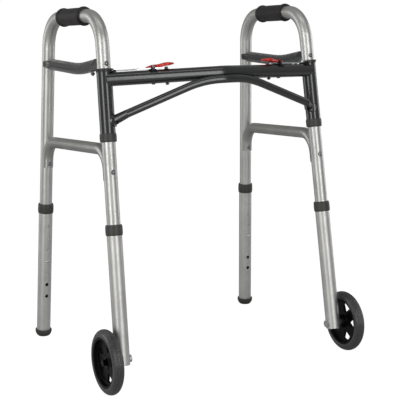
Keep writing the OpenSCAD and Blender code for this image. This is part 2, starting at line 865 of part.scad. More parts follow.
// Snap button through the extension's wall, pointing along -y
module snap_button() {
    color(steel)
    rotate([90, 0, 0]) {
        translate([0, 0, tube_r + 0.2]) cylinder(h = outer_r + 0.6 - tube_r - 0.2, r = button_r);
        translate([0, 0, outer_r + 0.6]) intersection() {
            translate([0, 0, -2.6]) sphere(r = 4.3);
            cylinder(h = 4, r = button_r);
        }
    }
}

module front_button(s) {
    on_front_leg(s) translate([0, 0, front_button_h]) rotate([0, 0, 180]) snap_button();
}

module rear_button(s) {
    on_rear_leg(s) translate([0, 0, rear_button_h]) snap_button();
}

// ---- wheels ----

nut_face = wheel_offset + boss_outer + side_gap;
// The spacer starts inside the leg's outline, and is cut to fit round it
spacer_start = 10;

module axle_bolt(s) {
    bolt_r = axle_r - touch;
    nut_washer_t = 1.2;
    color(steel) {
        on_axle(s) {
            translate([0, 0, -outer_r - 1]) cylinder(h = nut_face + outer_r + 8, r = bolt_r);
            translate([0, 0, nut_face]) cylinder(h = nut_washer_t, r = 8);
            translate([0, 0, nut_face + nut_washer_t]) cylinder(h = 5, r = 6.5, $fn = 6);
        }
        // Head on the inner side of the leg, seated on the round tube
        difference() {
            on_axle(s) translate([0, 0, -outer_r - 3.2]) cylinder(h = 8, r = 7);
            on_front_leg(s) cylinder(h = 120, r = outer_r + touch);
        }
    }
}

module axle_spacer(s) {
    color(dark_grey)
    difference() {
        on_axle(s) translate([0, 0, spacer_start])
            ring(axle_r + touch, 8, wheel_offset - boss_inner - side_gap - spacer_start);
        on_front_leg(s) cylinder(h = 120, r = outer_r + touch);
    }
}

module wheel_hub(s) {
    half = tyre_w / 2 - 1;
    color("#121213")
    on_axle(s) translate([0, 0, wheel_offset]) difference() {
        union() {
            translate([0, 0, -half]) ring(seat_r - 4, seat_r - touch, 2 * half);
            translate([0, 0, web_inner]) cylinder(h = web_t, r = seat_r - 3);
            translate([0, 0, -boss_inner]) cylinder(h = boss_inner + boss_outer, r = 12);
        }
        translate([0, 0, -20]) cylinder(h = 40, r = bushing_r + touch);
        for (i = [0:window_count - 1])
            rotate([0, 0, i * 360 / window_count])
                translate([0, 0, web_inner - 1])
                    linear_extrude(web_t + 2)
                        polygon(window_outline);
    }
}

module tyre(s) {
    tread_r = tyre_w / 2;
    color("#474747")
    on_axle(s) translate([0, 0, wheel_offset]) difference() {
        union() {
            rotate_extrude() translate([wheel_r - tread_r, 0]) circle(r = tread_r);
            translate([0, 0, -tread_r]) ring(seat_r, wheel_r - tread_r, tyre_w);
        }
        translate([0, 0, -20]) cylinder(h = 40, r = seat_r);
        for (z = [-groove_z, groove_z])
            translate([0, 0, z]) rotate_extrude() translate([wheel_r - groove_r, 0]) circle(r = groove_r);
    }
}

module wheel_bushing(s) {
    color("#8d7440")
    on_axle(s) translate([0, 0, wheel_offset - boss_inner])
        ring(axle_r - touch + run_gap, bushing_r, boss_inner + boss_outer);
}

// ---- drawing ----

crossbar();
arch_brace();
pivot_sleeve(LEFT);  // left_pivot_sleeve
pivot_sleeve(RIGHT);  // right_pivot_sleeve
sleeve_top_ring(LEFT);  // left_sleeve_top_ring
sleeve_top_ring(RIGHT);  // right_sleeve_top_ring
sleeve_bottom_collar(LEFT);  // left_sleeve_bottom_collar
sleeve_bottom_collar(RIGHT);  // right_sleeve_bottom_collar
arch_rivets();
latch_bracket(LEFT);  // left_latch_bracket
latch_bracket(RIGHT);  // right_latch_bracket
latch_pins();
spring_bolts();
release_spring(LEFT);  // left_release_spring
release_spring(RIGHT);  // right_release_spring
side_tube(LEFT);  // left_side_tube
hand_grip(LEFT);  // left_hand_grip
upper_brace(LEFT);  // left_upper_brace
lower_brace(LEFT);  // left_lower_brace
side_fasteners(LEFT);  // left_side_fasteners
lock_ring(LEFT);  // left_lock_ring
snap_springs(LEFT);  // left_snap_springs
side_tube(RIGHT);  // right_side_tube
hand_grip(RIGHT);  // right_hand_grip
upper_brace(RIGHT);  // right_upper_brace
lower_brace(RIGHT);  // right_lower_brace
side_fasteners(RIGHT);  // right_side_fasteners
lock_ring(RIGHT);  // right_lock_ring
snap_springs(RIGHT);  // right_snap_springs
release_lever(LEFT);  // left_release_lever
release_paddle(LEFT);  // left_release_paddle
release_lever(RIGHT);  // right_release_lever
release_paddle(RIGHT);  // right_release_paddle
rear_extension(LEFT);  // left_rear_extension
on_rear_leg(LEFT) collar(rear_ext_top);  // left_rear_collar
rear_tip(LEFT);  // left_rear_tip
rear_button(LEFT);  // left_rear_button
rear_extension(RIGHT);  // right_rear_extension
on_rear_leg(RIGHT) collar(rear_ext_top);  // right_rear_collar
rear_tip(RIGHT);  // right_rear_tip
rear_button(RIGHT);  // right_rear_button
front_extension(LEFT);  // left_front_extension
on_front_leg(LEFT) collar(front_ext_top);  // left_front_collar
front_button(LEFT);  // left_front_button
axle_bolt(LEFT);  // left_axle_bolt
axle_spacer(LEFT);  // left_axle_spacer
front_extension(RIGHT);  // right_front_extension
on_front_leg(RIGHT) collar(front_ext_top);  // right_front_collar
front_button(RIGHT);  // right_front_button
axle_bolt(RIGHT);  // right_axle_bolt
axle_spacer(RIGHT);  // right_axle_spacer
wheel_hub(LEFT);  // left_wheel_hub
tyre(LEFT);  // left_tyre
wheel_bushing(LEFT);  // left_wheel_bushing
wheel_hub(RIGHT);  // right_wheel_hub
tyre(RIGHT);  // right_tyre
wheel_bushing(RIGHT);  // right_wheel_bushing
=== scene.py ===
"""Looks of the folding walking frame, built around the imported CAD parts.

The moulded pieces (grips, tyres, hubs, tips, collars, paddles) and the return springs are
modelled here. Every other piece is the CAD node itself with a procedural material.
Metres, +Z up, the front faces -Y.
"""

import json
import math

import bmesh
import bpy
from mathutils import Matrix, Vector


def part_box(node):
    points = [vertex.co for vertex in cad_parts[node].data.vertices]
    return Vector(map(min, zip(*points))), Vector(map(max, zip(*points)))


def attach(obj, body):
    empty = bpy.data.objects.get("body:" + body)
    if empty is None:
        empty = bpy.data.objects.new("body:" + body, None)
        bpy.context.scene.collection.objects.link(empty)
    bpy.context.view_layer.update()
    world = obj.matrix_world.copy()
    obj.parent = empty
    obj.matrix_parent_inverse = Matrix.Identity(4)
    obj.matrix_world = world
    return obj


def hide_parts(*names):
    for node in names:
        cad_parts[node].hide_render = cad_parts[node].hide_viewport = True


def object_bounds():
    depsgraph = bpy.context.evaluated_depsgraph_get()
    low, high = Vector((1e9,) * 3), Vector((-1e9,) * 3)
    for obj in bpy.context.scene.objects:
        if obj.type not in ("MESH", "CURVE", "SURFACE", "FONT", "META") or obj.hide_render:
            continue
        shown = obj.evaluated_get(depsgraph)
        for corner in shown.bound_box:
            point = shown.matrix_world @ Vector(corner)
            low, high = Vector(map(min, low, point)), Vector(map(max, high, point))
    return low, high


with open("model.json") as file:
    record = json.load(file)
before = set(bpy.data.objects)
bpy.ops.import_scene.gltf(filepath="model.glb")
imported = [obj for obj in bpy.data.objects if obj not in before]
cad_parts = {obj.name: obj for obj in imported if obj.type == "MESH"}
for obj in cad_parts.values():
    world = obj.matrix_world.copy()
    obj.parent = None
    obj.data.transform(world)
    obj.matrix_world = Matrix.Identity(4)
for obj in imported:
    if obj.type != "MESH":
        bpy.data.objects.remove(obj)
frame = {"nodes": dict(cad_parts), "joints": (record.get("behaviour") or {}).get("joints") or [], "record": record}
cad_box = [list(corner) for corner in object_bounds()]

MM = 0.001
SIDES = {"left": -1, "right": 1}
JOINTS = {joint["name"]: joint for joint in frame["joints"]}
MOUNTS = {mount["name"]: mount for mount in frame["record"]["mounts"]}


# ---- placing ----

def axes(origin, up, ahead):
    """Matrix at origin whose local Z is up and whose local X is as near ahead as it can be."""
    z = Vector(up).normalized()
    ahead = Vector(ahead)
    x = (ahead - z * ahead.dot(z)).normalized()
    rotation = Matrix((x, z.cross(x), z)).transposed().to_4x4()
    return Matrix.Translation(Vector(origin)) @ rotation


def middle(node):
    """The middle of a CAD node's box."""
    low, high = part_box(node)
    return (low + high) / 2


def upward(vector):
    """The vector, turned round if it points down."""
    vector = Vector(vector)
    return vector if vector.z > 0 else -vector


def front_leg(side):
    """Local Z runs up the front leg from the floor, and local X points outwards."""
    up = upward(JOINTS[f"{side}_fold"]["axis"])
    pivot = Vector(JOINTS[f"{side}_fold"]["pos_m"])
    return axes(pivot - up * (pivot.z / up.z), up, (SIDES[side], 0, 0))


def rear_leg(side):
    """Local Z runs up the rear leg from the floor, and local X points outwards."""
    up = upward(JOINTS[f"{side}_rear_leg_slide"]["axis"])
    return axes(MOUNTS[f"{side}_rear_foot"]["pos_m"], up, (SIDES[side], 0, 0))


def wheel(side):
    """Local Z points outwards along the axle, from the middle of the tyre."""
    return axes(middle(f"{side}_tyre"), (SIDES[side], 0, 0), (0, 0, -1))


def grip(side):
    """Local Z runs along the hand grip, from its middle, and local X points up."""
    return axes(middle(f"{side}_hand_grip"), MOUNTS[f"{side}_grip_zone"]["axis"], (0, 0, 1))


def bar(side):
    """At the lever's pin. Local X points outwards along the crossbar, Y to the rear, Z up."""
    pin = JOINTS[f"{side}_release_press"]
    rear = Vector(pin["axis"])
    rear = rear if rear.y > 0 else -rear
    out = Vector(MOUNTS["crossbar_middle"]["axis"])
    out.x *= SIDES[side]
    up = upward(out.cross(rear))
    rotation = Matrix((out, rear, up)).transposed().to_4x4()
    return Matrix.Translation(Vector(pin["pos_m"])) @ rotation


# ---- mesh making ----

# Edges that turn by more degrees than this stay sharp, unless a piece names its own angle
SHARP = 32
# Vertices of a piece that are nearer than this many metres become one
MERGE = 1e-6


def outward_mesh(name, verts, faces, merge=0.0):
    """Mesh whose faces all look outwards."""
    mesh = bpy.data.meshes.new(name)
    mesh.from_pydata(verts, [], faces)
    work = bmesh.new()
    work.from_mesh(mesh)
    if merge:
        bmesh.ops.remove_doubles(work, verts=work.verts, dist=merge)
    bmesh.ops.recalc_face_normals(work, faces=work.faces)
    work.to_mesh(mesh)
    work.free()
    return mesh


def linked(name, data):
    """A new object in the scene that holds a mesh, a lamp or a camera."""
    obj = bpy.data.objects.new(name, data)
    bpy.context.scene.collection.objects.link(obj)
    return obj


def dress(mesh, name, body, material, stands_for, sharp=SHARP):
    """A finished object, riding on body and standing for the CAD node stands_for."""
    obj = linked(name, mesh)
    mesh.shade_smooth()
    mesh.set_sharp_from_angle(angle=math.radians(sharp))
    mesh.materials.append(material)
    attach(obj, body)
    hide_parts(stands_for)
    return obj


def piece(name, verts, faces, place, body, material, stands_for, sharp=SHARP):
    """A finished object made from vertices and faces in the local space of place."""
    placed = [place @ Vector(v) for v in verts]
    mesh = outward_mesh(name, placed, faces, MERGE)
    return dress(mesh, name, body, material, stands_for, sharp)


def rounded(corners, steps=5):
    """Outline through (a, b, fillet radius) corners, each rounded to its radius."""
    outline = []
    count = len(corners)
    for i, (a, b, radius) in enumerate(corners):
        here = Vector((a, b))
        before = Vector(corners[i - 1][:2]) - here
        after = Vector(corners[(i + 1) % count][:2]) - here
        half_turn = before.angle(after) / 2
        if radius <= 0 or half_turn > math.radians(89):
            outline.append((a, b))
            continue
        back = min(radius / math.tan(half_turn), before.length / 2, after.length / 2)
        start, end = here + before.normalized() * back, here + after.normalized() * back
        centre = here + (before.normalized() + after.normalized()).normalized() * (
            back / math.cos(half_turn))
        arm, last = start - centre, end - centre
        sweep = arm.angle_signed(last)
        for k in range(steps + 1):
            turn = -sweep * k / steps
            outline.append((
                centre.x + arm.x * math.cos(turn) - arm.y * math.sin(turn),
                centre.y + arm.x * math.sin(turn) + arm.y * math.cos(turn)))
    return outline


def turned(outline, steps):
    """Vertices and faces of a closed (radius, height) outline turned about local Z."""
    count = len(outline)
    verts, faces = [], []
    for i in range(steps):
        angle = 2 * math.pi * i / steps
        for radius, height in outline:
            verts.append((radius * math.cos(angle), radius * math.sin(angle), height))
    for i in range(steps):
        for j in range(count):
            here, up = i * count, (i + 1) % steps * count
            k = (j + 1) % count
            faces.append((here + j, up + j, up + k, here + k))
    return verts, faces


def skinned(rings, around):
    """Faces of a closed skin over the given number of rings of `around` vertices each."""
    faces = []
    for i in range(rings - 1):
        for k in range(around):
            here, there, nxt = i * around, (i + 1) * around, (k + 1) % around
            faces.append((here + k, there + k, there + nxt, here + nxt))
    faces.append(tuple(range(around)))
    faces.append(tuple((rings - 1) * around + k for k in range(around))[::-1])
    return faces


def in_metres(corners):
    """Corners given in millimetres, fillets and all."""
    return [tuple(value * MM for value in corner) for corner in corners]


# ---- materials ----

def linear(red, green, blue):
    """Linear colour from 0-255 screen values."""
    def channel(value):
        value /= 255
        return value / 12.92 if value <= 0.04045 else ((value + 0.055) / 1.055) ** 2.4
    return (channel(red), channel(green), channel(blue), 1)


class Surface:
    """A Principled material whose colour, roughness and bump vary over the object's own space."""

    def __init__(self, name, metallic=0.0, specular=0.5, coat=0.0, coat_roughness=0.1):
        self.material = bpy.data.materials.new(name)
        self.material.use_nodes = True
        self.nodes = self.material.node_tree.nodes
        self.links = self.material.node_tree.links
        self.shader = self.nodes["Principled BSDF"]
        self.shader.inputs["Metallic"].default_value = metallic
        self.shader.inputs["Specular IOR Level"].default_value = specular
        self.shader.inputs["Coat Weight"].default_value = coat
        self.shader.inputs["Coat Roughness"].default_value = coat_roughness
        self.coordinates = self.nodes.new("ShaderNodeTexCoord")
        self.height = None

    def noise(self, scale, stretch=(1, 1, 1), detail=3.0):
        """Noise with `scale` features a metre, squeezed along each axis by stretch."""
        mapping = self.nodes.new("ShaderNodeMapping")
        mapping.inputs["Scale"].default_value = stretch
        self.links.new(self.coordinates.outputs["Object"], mapping.inputs["Vector"])
        noise = self.nodes.new("ShaderNodeTexNoise")
        noise.inputs["Scale"].default_value = scale
        noise.inputs["Detail"].default_value = detail
        self.links.new(mapping.outputs["Vector"], noise.inputs["Vector"])
        return noise.outputs["Fac"]

    def voronoi(self, scale):
        """Small rounded cells, for moulded grain."""
        cells = self.nodes.new("ShaderNodeTexVoronoi")
        cells.feature = "SMOOTH_F1"
        cells.inputs["Scale"].default_value = scale
        self.links.new(self.coordinates.outputs["Object"], cells.inputs["Vector"])
        return cells.outputs["Distance"]

    def colour(self, field, stops):
        """Base colour from a field through (position, colour) stops."""
        ramp = self.nodes.new("ShaderNodeValToRGB")
        elements = ramp.color_ramp.elements
        while len(elements) < len(stops):
            elements.new(0.5)
        for element, (position, colour) in zip(elements, stops):
            element.position = position
            element.color = colour
        self.links.new(field, ramp.inputs["Fac"])
        self.links.new(ramp.outputs["Color"], self.shader.inputs["Base Color"])

    def roughness(self, field, low, high, start=0.3, end=0.7):
        """Roughness from low to high as the field goes from start to end."""
        self.links.new(self.spread(field, start, end, low, high),
                       self.shader.inputs["Roughness"])

    def bump(self, field, depth, strength):
        """Relief of the given depth in metres, on top of any already there."""
        bump = self.nodes.new("ShaderNodeBump")
        bump.inputs["Distance"].default_value = depth
        bump.inputs["Strength"].default_value = strength
        self.links.new(field, bump.inputs["Height"])
        if self.height is not None:
            self.links.new(self.height, bump.inputs["Normal"])
        self.height = bump.outputs["Normal"]
        self.links.new(self.height, self.shader.inputs["Normal"])

    def mix(self, factor, first, second):
        """Blend of two fields."""
        blend = self.nodes.new("ShaderNodeMix")
        self.links.new(factor, blend.inputs["Factor"])
        self.links.new(first, blend.inputs["A"])
        self.links.new(second, blend.inputs["B"])
        return blend.outputs["Result"]

    def coordinate(self, axis):
        """The point's X, Y or Z in the object's own space."""
        split = self.nodes.new("ShaderNodeSeparateXYZ")
        self.links.new(self.coordinates.outputs["Object"], split.inputs["Vector"])
        return split.outputs[axis]

    def spread(self, field, start, end, low=0.0, high=1.0):
        """low where the field is under start, going to high where it is over end."""
        scale = self.nodes.new("ShaderNodeMapRange")
        for socket, value in (("From Min", start), ("From Max", end),
                              ("To Min", low), ("To Max", high)):
            scale.inputs[socket].default_value = value
        self.links.new(field, scale.inputs["Value"])
        return scale.outputs["Result"]

    def above(self, low, high):
        """0 below the height low and 1 above high."""
        return self.spread(self.coordinate("Z"), low, high)

    def outside(self, low, high):
        """0 nearer the walker's middle than low and 1 further out sideways than high."""
        sideways = self.nodes.new("ShaderNodeMath")
        sideways.operation = "ABSOLUTE"
        self.links.new(self.coordinate("X"), sideways.inputs[0])
        return self.spread(sideways.outputs["Value"], low, high)


def drawn_aluminium(name, dark, bright, rough_low, rough_high, bends_from=None):
    """Satin anodised tube: lengthwise drawing lines over soft cloudy variation."""
    surface = Surface(name, metallic=1.0, specular=0.5)
    lines = surface.noise(90, (16, 16, 0.6), detail=2.0)
    if bends_from:
        across = surface.noise(90, (16, 0.6, 16), detail=2.0)
        lines = surface.mix(surface.above(*bends_from), lines, across)
    clouds = surface.noise(22, detail=4.0)
    surface.colour(clouds, [(0.25, linear(*dark)), (0.75, linear(*bright))])
    surface.roughness(lines, rough_low, rough_high)
    surface.bump(lines, depth=0.00004, strength=0.5)
    surface.bump(surface.noise(1600, detail=1.0), depth=0.00001, strength=0.5)
    return surface.material


def powder_coat(name, dark, bright, rough_low, rough_high):
    """Glossy charcoal coat with faint orange peel and a fine metallic fleck."""
    surface = Surface(name, metallic=0.35, specular=0.6, coat=0.8, coat_roughness=0.14)
    fleck = surface.noise(2600, detail=1.0)
    surface.colour(fleck, [(0.35, linear(*dark)), (0.72, linear(*bright))])
    surface.roughness(surface.noise(45), rough_low, rough_high)
    surface.bump(surface.noise(420, detail=2.0), depth=0.00005, strength=0.6)
    return surface.material


def moulding(name, dark, bright, rough_low, rough_high, grain=900, depth=0.00006,
             specular=0.5, coat=0.0, coat_roughness=0.1):
    """Moulded plastic, rubber or vinyl with a fine leathery grain and slight bloom."""
    surface = Surface(name, specular=specular, coat=coat, coat_roughness=coat_roughness)
    bloom = surface.noise(35, detail=5.0)
    surface.colour(bloom, [(0.3, linear(*dark)), (0.72, linear(*bright))])
    surface.roughness(surface.noise(70), rough_low, rough_high)
    surface.bump(surface.voronoi(grain), depth, strength=0.6)
    surface.bump(surface.noise(60), depth=0.0001, strength=0.3)
    return surface.material


def scuffed(surface, rough_low, rough_high):
    """Gives the surface the small scuffs that handled steel has."""
    surface.roughness(surface.noise(300, detail=4.0), rough_low, rough_high)
    surface.bump(surface.noise(900, detail=3.0), depth=0.00003, strength=0.6)


def plated(name, dark, bright, rough_low, rough_high):
    """Plated or bare steel with small scuffs and a little staining."""
    surface = Surface(name, metallic=1.0)
    surface.colour(surface.noise(160, detail=5.0),
                   [(0.3, linear(*dark)), (0.65, linear(*bright))])
    scuffed(surface, rough_low, rough_high)
    return surface.material


def axle_steel(name, head, nut, start, end):
    """Plated bolt, darker at its outer end past start from the walker's middle: painted shade on the nut, which
    sits in the hub's shaded dish.
    """
    surface = Surface(name, metallic=1.0)
    surface.colour(surface.outside(start, end), [(0.0, linear(*head)), (1.0, linear(*nut))])
    scuffed(surface, 0.3, 0.44)
    return surface.material


tube_metal = drawn_aluminium("tube_metal", (196, 196, 193), (214, 214, 211), 0.36, 0.48,
                             bends_from=(0.645, 0.668))
extension_metal = drawn_aluminium("extension_metal", (200, 200, 197), (218, 218, 215), 0.4, 0.52)
brace_metal = drawn_aluminium("brace_metal", (166, 166, 163), (188, 188, 184), 0.3, 0.42,
                              bends_from=(0.40, 0.425))
charcoal = powder_coat("charcoal_coat", (34, 35, 37), (50, 51, 53), 0.18, 0.28)
dark_nylon = moulding("dark_nylon", (34, 34, 35), (44, 44, 45), 0.38, 0.5)
collar_plastic = moulding("collar_plastic", (52, 52, 50), (64, 64, 62), 0.4, 0.52)
tip_rubber = moulding("tip_rubber", (50, 50, 49), (62, 62, 60), 0.5, 0.66, grain=700)
grip_vinyl = moulding("grip_vinyl", (31, 28, 28), (43, 39, 39), 0.42, 0.54, grain=620,
                      depth=0.00012, specular=0.35)
paddle_red = moulding("paddle_red", (196, 26, 18), (214, 36, 24), 0.26, 0.36, grain=1400,
                      depth=0.00002, coat=0.3, coat_roughness=0.15)
hub_gloss = moulding("hub_gloss", (5, 5, 6), (9, 9, 10), 0.3, 0.4, grain=1200,
                     depth=0.00002, specular=0.12)
tyre_rubber = moulding("tyre_rubber", (50, 50, 50), (60, 60, 60), 0.2, 0.28, grain=2500,
                       depth=0.00001, specular=0.8)
bushing_nylon = moulding("bushing_nylon", (134, 110, 62), (152, 128, 78), 0.45, 0.6)
bright_steel = plated("bright_steel", (188, 190, 193), (222, 224, 226), 0.18, 0.34)
dark_steel = plated("dark_steel", (70, 70, 72), (96, 96, 98), 0.3, 0.46)
spring_steel = plated("spring_steel", (108, 110, 113), (146, 148, 151), 0.26, 0.4)
# Near-black steel for the latch bracket: painted shade, so that the bracket reads as the shadow under the release
# paddle.
shadow_black_steel = plated("shadow_black_steel", (36, 36, 38), (52, 52, 54), 0.34, 0.48)
# The axle bolt's nut end is painted dark, as shade from the hub's dish around it.
bolt_steel_shaded_nut = axle_steel("bolt_steel_shaded_nut", (196, 198, 200), (44, 44, 46), 0.25, 0.26)

# The first words found in a node's name pick its material. "ring" also takes in the spring
# bolts and the snap springs, so those are dark too.
NODE_MATERIALS = (
    ("side_tube", tube_metal), ("extension", extension_metal), ("lower_brace", brace_metal),
    ("upper_brace", charcoal), ("crossbar", charcoal), ("arch_brace", charcoal),
    ("pivot_sleeve", charcoal), ("ring", dark_nylon), ("axle_spacer", collar_plastic),
    ("latch_bracket", shadow_black_steel), ("latch_pins", dark_steel), ("arch_rivets", dark_steel),
    ("axle_bolt", bolt_steel_shaded_nut), ("side_fasteners", spring_steel),
    ("wheel_bushing", bushing_nylon), ("", bright_steel),
)
for node_name, node_object in frame["nodes"].items():
    finish = next(m for words, m in NODE_MATERIALS if words in node_name)
    for material_slot in node_object.material_slots:
        material_slot.material = finish


# ---- wheels ----

def half_size(node):
    """Half the size of a CAD node's box along X, Y and Z, in millimetres."""
    low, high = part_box(node)
    return (high - low) / 2 / MM


TYRE_HALF, TYRE_R = half_size("left_tyre").x, half_size("left_tyre").z
SEAT_R = half_size("left_wheel_hub").z
RIM_R, RIM_HALF = SEAT_R - 4, TYRE_HALF - 1
TYRE_STEPS, HUB_STEPS = 144, 120
BEAD_EDGE = 0.6
# The tread's ribs, in degrees of its rounded section: their width, and where they fade out
RIB_WIDTH, RIB_LIMIT, RIB_FADE = 15.0, 72, 10
RIB_DEPTH, TREAD_POINTS = 0.7, 72


def tyre_outline():
    """Rounded tread with shallow ribs round it, and square beads in the rim."""
    tread_centre = TYRE_R - TYRE_HALF
    outline = [(SEAT_R, -TYRE_HALF + BEAD_EDGE), (SEAT_R + BEAD_EDGE, -TYRE_HALF)]
    for i in range(TREAD_POINTS + 1):
        angle = math.pi * (i / TREAD_POINTS - 0.5)
        across = math.degrees(angle)
        groove = 0.5 - 0.5 * math.cos(2 * math.pi * across / RIB_WIDTH)
        fade = min(1.0, max(0.0, (RIB_LIMIT - abs(across)) / RIB_FADE))
        radius = TYRE_HALF - RIB_DEPTH * fade * groove ** 4
        outline.append((tread_centre + radius * math.cos(angle), radius * math.sin(angle)))
    outline += [(SEAT_R + BEAD_EDGE, TYRE_HALF), (SEAT_R, TYRE_HALF - BEAD_EDGE)]
    return [(r * MM, z * MM) for r, z in outline]


HUB_BORE, BOSS_R, BOSS_FOOT_R = 6.05, 12, 13.4
BOSS_INNER, BOSS_OUTER = -12.2, 3
WEB_INNER, WEB_OUTER = -2.5, 1.5
DISH_R = RIM_R - 1.4
# Sections and windows are corners: (radius, height along the axis, fillet), in millimetres.
# Half section of the hub: boss, web between two dishes, and rim, from the bore round
HUB_SECTION = [
    (HUB_BORE, BOSS_INNER, 0.3), (BOSS_R, BOSS_INNER, 0.8), (BOSS_FOOT_R, WEB_INNER, 2.0),
    (DISH_R, WEB_INNER, 1.8), (RIM_R, -RIM_HALF, 0.8), (SEAT_R, -RIM_HALF, 0.5),
    (SEAT_R, RIM_HALF, 0.5), (RIM_R, RIM_HALF, 0.8), (DISH_R, WEB_OUTER, 1.8),
    (BOSS_FOOT_R, WEB_OUTER, 1.0), (BOSS_R, BOSS_OUTER, 0.8), (HUB_BORE, BOSS_OUTER, 0.3),
]
# Outline of a window in the web: (outwards, sideways, fillet). The cutter goes past both faces
WINDOW = [(19.2, 0, 1.4), (34, -10.9, 1.8), (38, -5.5, 1.8), (38.8, 0, 0), (38, 5.5, 1.8),
          (34, 10.9, 1.8)]
WINDOWS, CUTTER_REACH = 5, 6
HUB_EDGE = 0.5
# How far each wheel has rolled from having a window straight under its axle
HUB_TURN = math.radians(22)


def prism(outline, low, high, turn):
    """Vertices and faces of a closed prism between two heights, turned about Z."""
    count = len(outline)
    spin = Matrix.Rotation(turn, 4, "Z")
    verts = [spin @ Vector((x, y, z)) for z in (low, high) for x, y in outline]
    faces = [tuple(range(count))[::-1], tuple(range(count, 2 * count))]
    faces += [(i, (i + 1) % count, count + (i + 1) % count, count + i) for i in range(count)]
    return verts, faces


def applied(obj):
    """The object's mesh with its modifiers applied; the object itself is removed."""
    bpy.context.view_layer.update()
    graph = bpy.context.evaluated_depsgraph_get()
    mesh = bpy.data.meshes.new_from_object(obj.evaluated_get(graph))
    bpy.data.objects.remove(obj)
    return mesh


def hub_mesh():
    """The hub about local Z, with its windows cut and every edge softened."""
    verts, faces = turned(rounded(in_metres(HUB_SECTION), 4), HUB_STEPS)
    blank = linked("hub_blank", outward_mesh("hub_blank", verts, faces))
    verts, faces = [], []
    window = rounded(in_metres(WINDOW), 3)
    for i in range(WINDOWS):
        more_verts, more_faces = prism(
            window, -CUTTER_REACH * MM, CUTTER_REACH * MM, 2 * math.pi * i / WINDOWS)
        faces += [tuple(v + len(verts) for v in face) for face in more_faces]
        verts += more_verts
    cutter = linked("window_cutter", outward_mesh("window_cutter", verts, faces))
    cut = blank.modifiers.new("windows", "BOOLEAN")
    cut.operation = "DIFFERENCE"
    cut.solver = "EXACT"
    cut.object = cutter
    soften = blank.modifiers.new("soft_edges", "BEVEL")
    soften.width = HUB_EDGE * MM
    soften.segments = 2
    soften.limit_method = "ANGLE"
    soften.angle_limit = math.radians(50)
    mesh = applied(blank)
    bpy.data.objects.remove(cutter)
    return mesh


hub_shape = hub_mesh()
for side in SIDES:
    place = wheel(side)
    verts, faces = turned(tyre_outline(), TYRE_STEPS)
    piece(f"{side}_ribbed_tyre", verts, faces, place, f"{side}_wheel", tyre_rubber,
          f"{side}_tyre", sharp=50)
    hub = hub_shape.copy()
    hub.transform(place @ Matrix.Rotation(-SIDES[side] * HUB_TURN, 4, "Z"))
    hub.materials.clear()
    dress(hub, f"{side}_dished_hub", f"{side}_wheel", hub_gloss,
          f"{side}_wheel_hub", sharp=35)


# ---- grips, collars and tips ----

TURNED_STEPS = 96
GRIP_BORE, GRIP_HALF = 12.72, 50.0
GRIP_SECTION = [
    (GRIP_BORE, -GRIP_HALF, 0.3), (17.6, -GRIP_HALF, 1.4), (18.3, -GRIP_HALF + 3, 1.6),
    (18.0, -GRIP_HALF + 5.6, 1.2), (16.3, -GRIP_HALF + 7.2, 1.4), (16.6, -18, 40), (16.6, 18, 40),
    (16.3, GRIP_HALF - 7.2, 1.4), (18.0, GRIP_HALF - 5.6, 1.2), (18.3, GRIP_HALF - 3, 1.6),
    (17.6, GRIP_HALF, 1.4), (GRIP_BORE, GRIP_HALF, 0.3),
]


TUBE_BORE, OUTER_BORE = 12.78, 14.34
# Heights along the legs where the side tubes end and the collars sit
FRONT_TOP, REAR_TOP = 306, 284
COLLAR_DROP, COLLAR_RISE = 14, 6


def collar_section(top):
    """Slightly barrel-shaped collar over the end of an outer tube that ends at height top."""
    low, high, seat = top - COLLAR_DROP, top + COLLAR_RISE, top + 0.1
    return [
        (OUTER_BORE, low, 0.2), (15.5, low, 0.7), (16.1, top - 10, 6), (16.2, top - 4, 6),
        (16.0, top + 2, 3), (15.2, high, 1.4), (TUBE_BORE, high, 0.3), (TUBE_BORE, seat, 0.1),
        (OUTER_BORE, seat, 0.1),
    ]


SLEEVE_FOOT, SLEEVE_SEAT, SLEEVE_LAP = 463.5, 469.9, 479.5
SLEEVE_BOTTOM_SECTION = [
    (TUBE_BORE, SLEEVE_FOOT, 0.3), (15.0, SLEEVE_FOOT, 1.2), (15.7, 467, 5), (15.8, 473, 5),
    (15.6, 477, 3), (15.1, SLEEVE_LAP, 0.5), (OUTER_BORE, SLEEVE_LAP, 0.2),
    (OUTER_BORE, SLEEVE_SEAT, 0.1), (TUBE_BORE, SLEEVE_SEAT, 0.1),
]
# The tip's section goes on under the floor, because its foot is cut flat afterwards
TIP_CORE, TIP_BORE, TIP_FOOT, TIP_SEAT, TIP_STEP, TIP_TOP = 1.5, 12.55, -2, 11.05, 12.0, 14
TIP_SECTION = [
    (TIP_CORE, TIP_SEAT, 0), (TIP_BORE, TIP_SEAT, 0.3), (TIP_BORE, TIP_STEP, 0.1),
    (OUTER_BORE, TIP_STEP, 0.1), (OUTER_BORE, TIP_TOP, 0.2), (17.0, TIP_TOP, 0.6),
    (17.38, 11.5, 2), (17.0, 8.2, 4), (15.8, 4.9, 5), (13.8, 1.9, 5), (11.4, -0.4, 3),
    (8, TIP_FOOT, 0), (TIP_CORE, TIP_FOOT, 0),
]


def cut_at_floor(obj):
    """Cuts the piece off flat at Z 0 and closes the cut."""
    cut = bmesh.new()
    cut.from_mesh(obj.data)
    whole = cut.verts[:] + cut.edges[:] + cut.faces[:]
    result = bmesh.ops.bisect_plane(cut, geom=whole, plane_co=(0, 0, 0), plane_no=(0, 0, 1),
                                    clear_inner=True)
    rim = [part for part in result["geom_cut"] if isinstance(part, bmesh.types.BMEdge)]
    bmesh.ops.holes_fill(cut, edges=rim, sides=0)
    bmesh.ops.recalc_face_normals(cut, faces=cut.faces)
    cut.to_mesh(obj.data)
    cut.free()
    obj.data.set_sharp_from_angle(angle=math.radians(SHARP))


